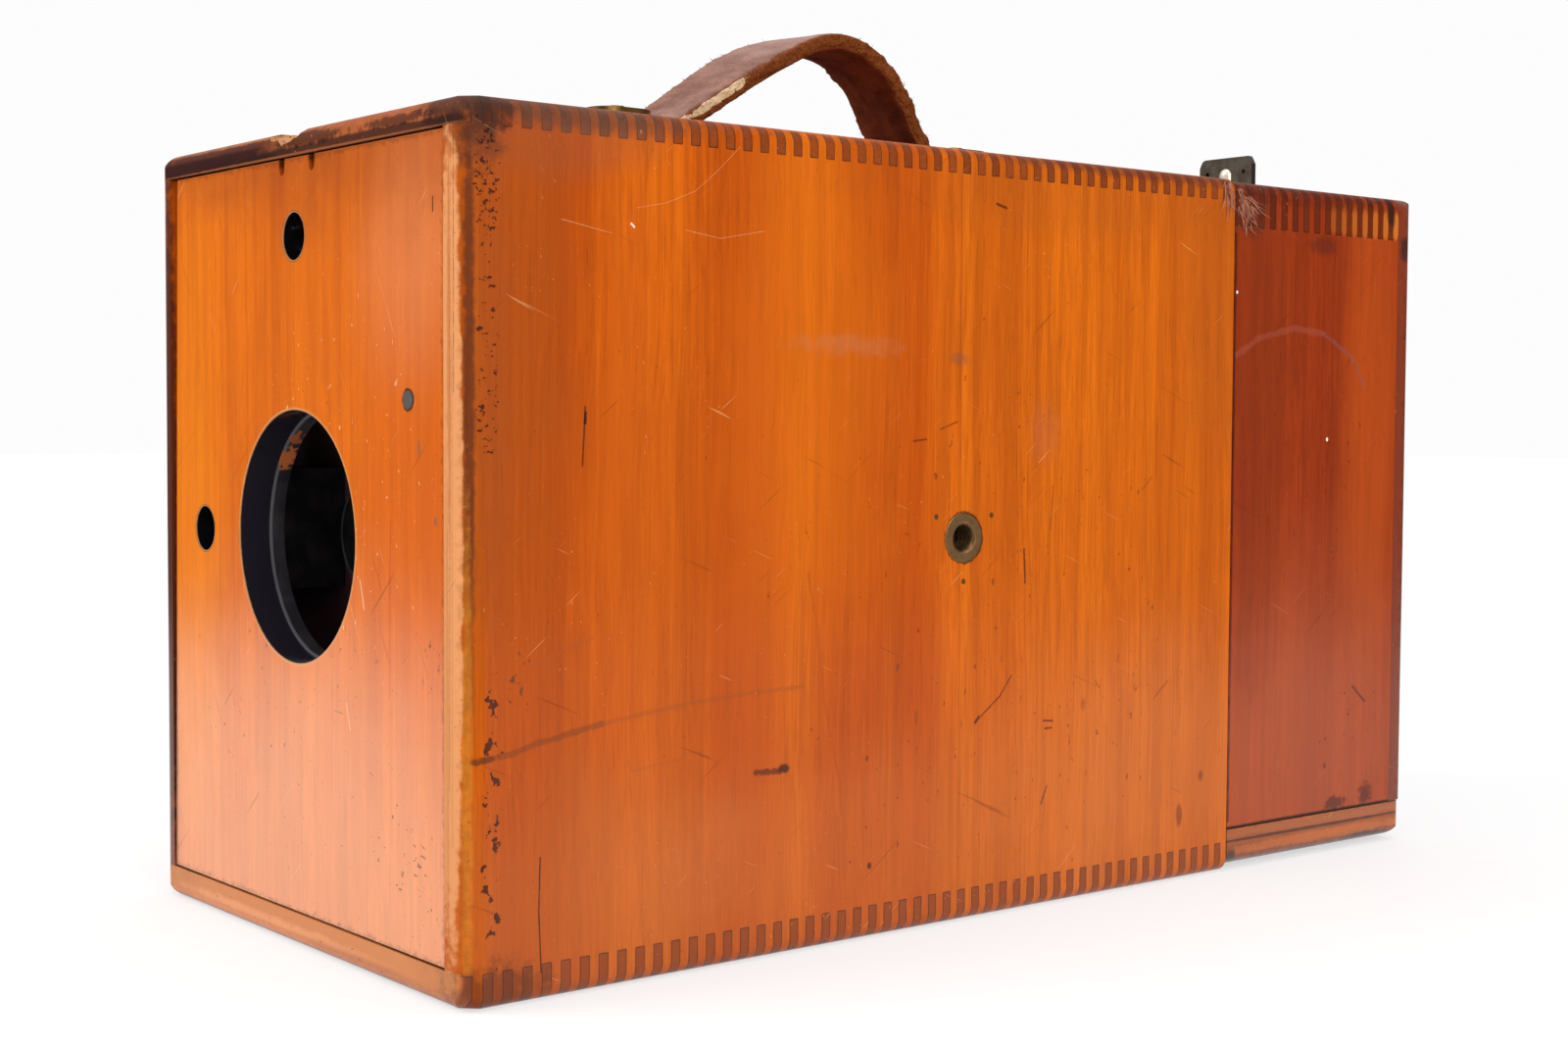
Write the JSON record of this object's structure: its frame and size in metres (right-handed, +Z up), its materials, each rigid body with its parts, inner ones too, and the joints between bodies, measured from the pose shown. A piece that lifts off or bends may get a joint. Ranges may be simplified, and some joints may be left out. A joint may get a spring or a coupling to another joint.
{
  "type": "roll film box camera",
  "caption": "Varnished wooden box camera with finger-jointed casing and lift-off rear cover, rotary shutter, two reflecting finders, leather handle, tripod bushes and winding key.",
  "frame": {"origin": "middle of the overall length and width on the resting face of the bottom board", "axes": "+Z up, -Y out of the lens opening, +X towards the side with the tripod bush"},
  "size_m": [0.1354, 0.28, 0.1974],
  "materials": {
    "side_wood": "aged amber varnish over vertical straight grain",
    "panel_wood": "aged orange varnish, rubbed and scratched",
    "cover_wood": "darker red-brown varnish, worn at the corners",
    "end_wood": "dark end grain of the joint fingers under varnish",
    "bare_wood": "bare fine-grained wood",
    "black_paint": "dull black paint",
    "black_wood": "wood stained dull black",
    "aged_brass": "aged dull brass",
    "dark_steel": "browned steel",
    "bright_steel": "bright drawn steel",
    "leather": "worn brown leather with frayed edges",
    "lead": "dull grey metal plug",
    "glass": "clear old glass",
    "mirror": "silvered mirror",
    "ground_glass": "finely ground glass",
    "film": "coated film with paper backing"
  },
  "bodies": {
    "casing": {"side_board_right": "side_wood", "side_board_left": "side_wood", "top_board": "side_wood", "bottom_board": "side_wood", "corner_blocks": "bare_wood", "tripod_bush_side": "aged_brass", "tripod_bush_base": "aged_brass", "bush_pins": "aged_brass", "handle_strap": "leather", "handle_plate_front": "aged_brass", "handle_plate_rear": "aged_brass", "handle_screws": "aged_brass", "shutter_cord_eyelet": "aged_brass", "lens_board": "black_wood", "lens_flange": "aged_brass", "lens_screws": "aged_brass", "lens_barrel": "black_paint", "front_lens": "glass", "rear_lens": "glass", "shutter_arbor": "bright_steel", "shutter_spring": "dark_steel", "shutter_bridge": "aged_brass", "trip_pivot": "bright_steel", "button_bush": "aged_brass", "top_finder_housing": "black_paint", "top_finder_lens": "glass", "top_finder_mirror": "mirror", "top_finder_window": "ground_glass", "side_finder_housing": "black_paint", "side_finder_lens": "glass", "side_finder_mirror": "mirror", "side_finder_window": "ground_glass", "film_gate": "black_wood", "ledge_board": "cover_wood", "rear_base": "cover_wood", "holder_lower_plate": "bare_wood", "holder_upper_plate": "aged_brass", "holder_pillars": "aged_brass", "film_platen": "black_wood", "film_web": "film"},
    "front_closure": {"front_panel": "panel_wood", "panel_collar": "black_wood", "panel_plug": "lead"},
    "stop_wheel": {"stop_disc": "aged_brass", "stop_knob": "black_paint"},
    "shutter": {"shutter_disc": "aged_brass"},
    "trip": {"trip_lever": "dark_steel"},
    "button": {"release_button": "aged_brass"},
    "back_cover": {"cover_side_right": "cover_wood", "cover_side_left": "cover_wood", "cover_top": "cover_wood", "cover_rear": "cover_wood", "key_bush": "aged_brass"},
    "winding_key": {"key_shaft": "bright_steel", "key_thumb_plate": "dark_steel"},
    "supply_roll": {"supply_spool": "bare_wood"},
    "take_up_roll": {"take_up_spool": "bare_wood"},
    "left_roller": {"guide_roller_left": "bare_wood"},
    "right_roller": {"guide_roller_right": "bare_wood"},
    "pawl": {"ratchet_pawl": "dark_steel"}
  },
  "joints": [
    {"name": "panel_out", "type": "slide", "parent": "casing", "child": "front_closure", "axis": [0, -1, 0], "range_m": [0, 0.012]},
    {"name": "stop_turn", "type": "hinge", "parent": "casing", "child": "stop_wheel", "pos_m": [0, -0.1012, 0.0634], "axis": [0, 1, 0], "range_deg": [-60, 60]},
    {"name": "shutter_turn", "type": "hinge", "parent": "casing", "child": "shutter", "pos_m": [0, -0.0992, 0.1059], "axis": [0, 1, 0], "range_deg": [0, 200], "stiffness_Nm_per_rad": 0.004, "springref_deg": -28.65},
    {"name": "button_press", "type": "slide", "parent": "casing", "child": "button", "axis": [1, 0, 0], "range_m": [0, 0.002], "stiffness_N_per_m": 200, "springref_m": -0.001},
    {"name": "trip_swing", "type": "hinge", "parent": "casing", "child": "trip", "pos_m": [-0.042, -0.0988, 0.113], "axis": [0, 1, 0], "range_deg": [0, 10.4]},
    {"name": "cover_lift", "type": "slide", "parent": "casing", "child": "back_cover", "axis": [0, 0, 1], "range_m": [0, 0.15]},
    {"name": "supply_turn", "type": "hinge", "parent": "casing", "child": "supply_roll", "pos_m": [-0.0335, 0.106, 0.083], "axis": [0, 0, 1], "continuous": true},
    {"name": "take_up_turn", "type": "hinge", "parent": "casing", "child": "take_up_roll", "pos_m": [0.0335, 0.106, 0.083], "axis": [0, 0, 1], "continuous": true},
    {"name": "key_turn", "type": "hinge", "parent": "back_cover", "child": "winding_key", "pos_m": [0.0335, 0.106, 0.16], "axis": [0, 0, 1], "continuous": true},
    {"name": "left_roller_turn", "type": "hinge", "parent": "casing", "child": "left_roller", "pos_m": [-0.0536, 0.0752, 0.083], "axis": [0, 0, 1], "continuous": true},
    {"name": "right_roller_turn", "type": "hinge", "parent": "casing", "child": "right_roller", "pos_m": [0.0536, 0.0752, 0.083], "axis": [0, 0, 1], "continuous": true},
    {"name": "pawl_lift", "type": "hinge", "parent": "casing", "child": "pawl", "pos_m": [0.04314, 0.09451, 0.152], "axis": [0, 0, -1], "range_deg": [0, 20], "stiffness_Nm_per_rad": 0.002, "springref_deg": -17.19}
  ],
  "couplings": [
    {"joint": "trip_swing", "follows": "button_press", "rad_per_m": 90},
    {"joint": "take_up_turn", "follows": "supply_turn", "ratio": 1.6},
    {"joint": "key_turn", "follows": "supply_turn", "ratio": 1.6},
    {"joint": "left_roller_turn", "follows": "supply_turn", "ratio": 4.5714},
    {"joint": "right_roller_turn", "follows": "supply_turn", "ratio": 4.5714}
  ]
}
